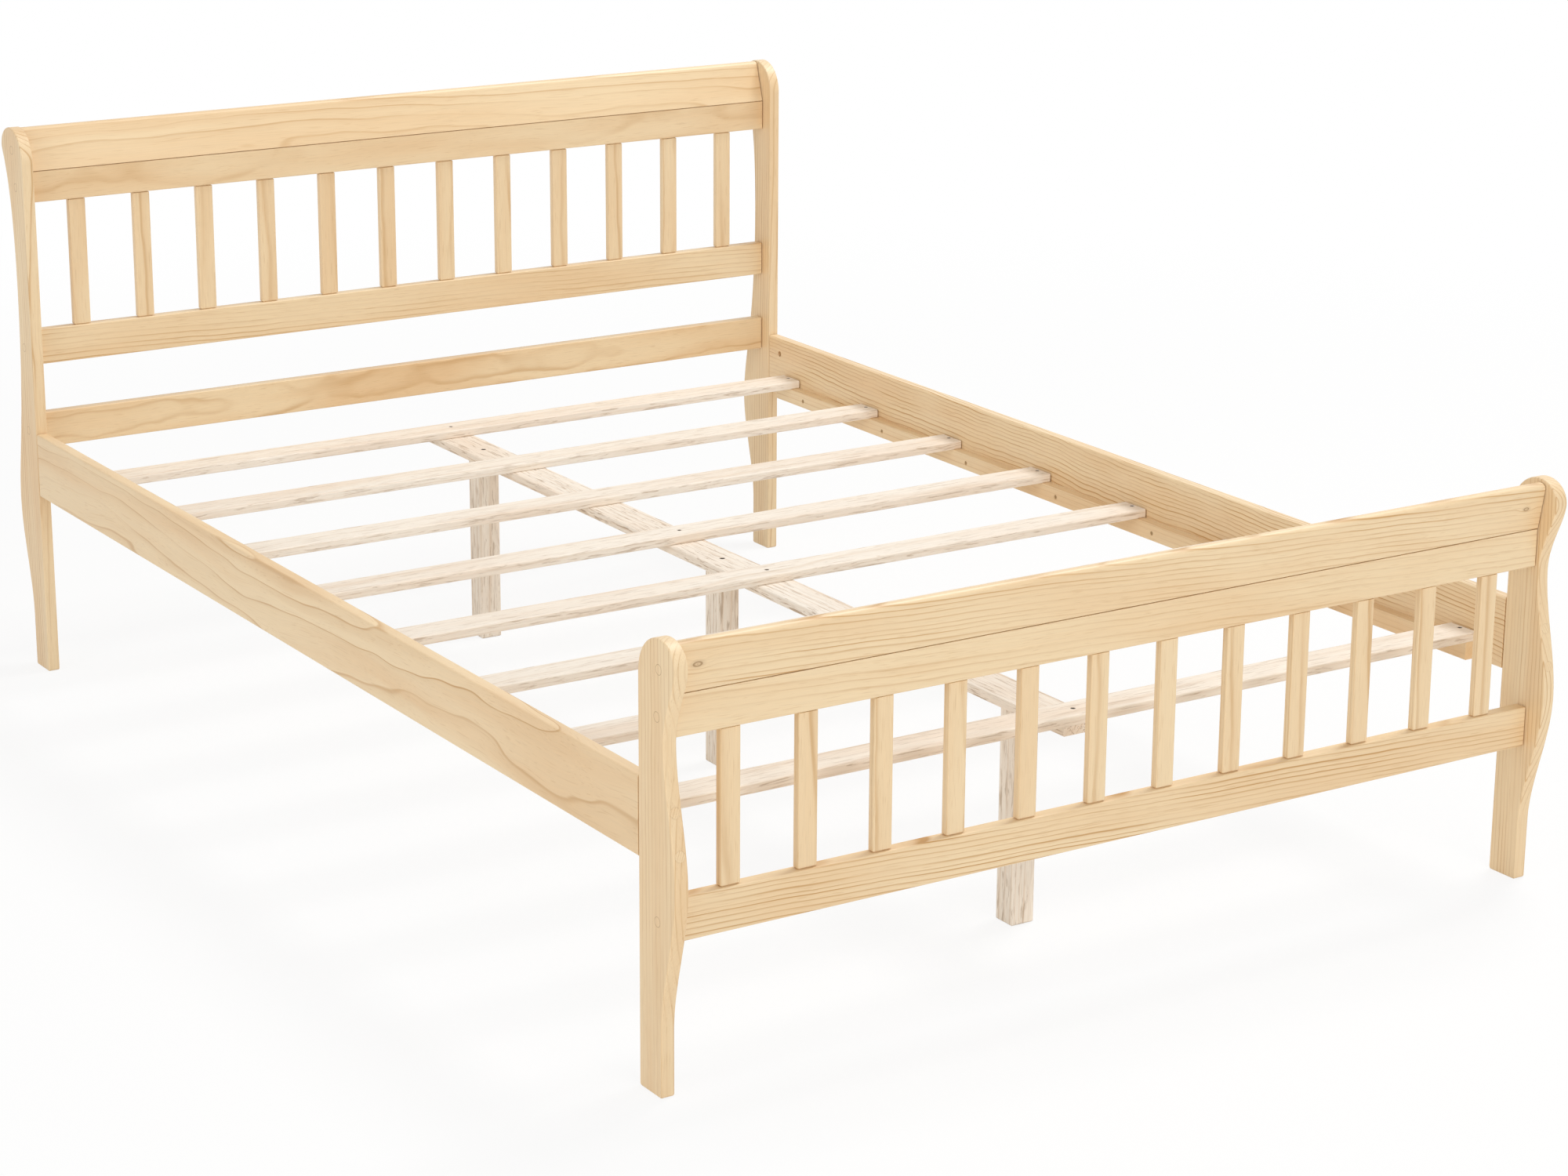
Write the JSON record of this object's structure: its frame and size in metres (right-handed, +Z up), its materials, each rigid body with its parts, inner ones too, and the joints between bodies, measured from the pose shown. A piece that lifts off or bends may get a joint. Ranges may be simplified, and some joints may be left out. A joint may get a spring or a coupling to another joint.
{
  "type": "platform bed",
  "caption": "Pine platform bed frame with slatted headboard and footboard between waved posts, side rails, cross slats and a centre beam on square legs.",
  "frame": {"origin": "centre of the bed's footprint, on the floor", "axes": "+X to the right seen from the foot, +Y towards the headboard, +Z up"},
  "size_m": [1.43, 2.105, 0.901],
  "materials": {
    "honey_pine": "clear satin varnish",
    "raw_pine": "planed, unfinished",
    "dowel_beech": "plain",
    "zinc_steel": "zinc plated",
    "bronze_steel": "bronzed",
    "dark_steel": "dark phosphate"
  },
  "bodies": {
    "root": {"barrel_nuts": "bronze_steel", "beam_screws": "dark_steel", "bolt_plugs": "honey_pine", "cap_dowels": "dowel_beech", "centre_beam": "raw_pine", "centre_leg_1": "raw_pine", "centre_leg_2": "raw_pine", "centre_leg_3": "raw_pine", "foot_cap": "honey_pine", "foot_lower_rail": "honey_pine", "foot_post_left": "honey_pine", "foot_post_right": "honey_pine", "foot_spindle_01": "honey_pine", "foot_spindle_02": "honey_pine", "foot_spindle_03": "honey_pine", "foot_spindle_04": "honey_pine", "foot_spindle_05": "honey_pine", "foot_spindle_06": "honey_pine", "foot_spindle_07": "honey_pine", "foot_spindle_08": "honey_pine", "foot_spindle_09": "honey_pine", "foot_spindle_10": "honey_pine", "foot_spindle_11": "honey_pine", "foot_spindle_12": "honey_pine", "foot_upper_rail": "honey_pine", "head_cap": "honey_pine", "head_lower_rail": "honey_pine", "head_middle_rail": "honey_pine", "head_post_left": "honey_pine", "head_post_right": "honey_pine", "head_spindle_01": "honey_pine", "head_spindle_02": "honey_pine", "head_spindle_03": "honey_pine", "head_spindle_04": "honey_pine", "head_spindle_05": "honey_pine", "head_spindle_06": "honey_pine", "head_spindle_07": "honey_pine", "head_spindle_08": "honey_pine", "head_spindle_09": "honey_pine", "head_spindle_10": "honey_pine", "head_spindle_11": "honey_pine", "head_spindle_12": "honey_pine", "head_upper_rail": "honey_pine", "ledger_left": "honey_pine", "ledger_right": "honey_pine", "ledger_screws": "bronze_steel", "leg_screws": "dark_steel", "rail_bolts": "zinc_steel", "side_rail_left": "honey_pine", "side_rail_right": "honey_pine", "slat_1": "raw_pine", "slat_2": "raw_pine", "slat_3": "raw_pine", "slat_4": "raw_pine", "slat_5": "raw_pine", "slat_6": "raw_pine", "slat_7": "raw_pine", "slat_8": "raw_pine", "slat_screws": "dark_steel"}
  },
  "joints": []
}
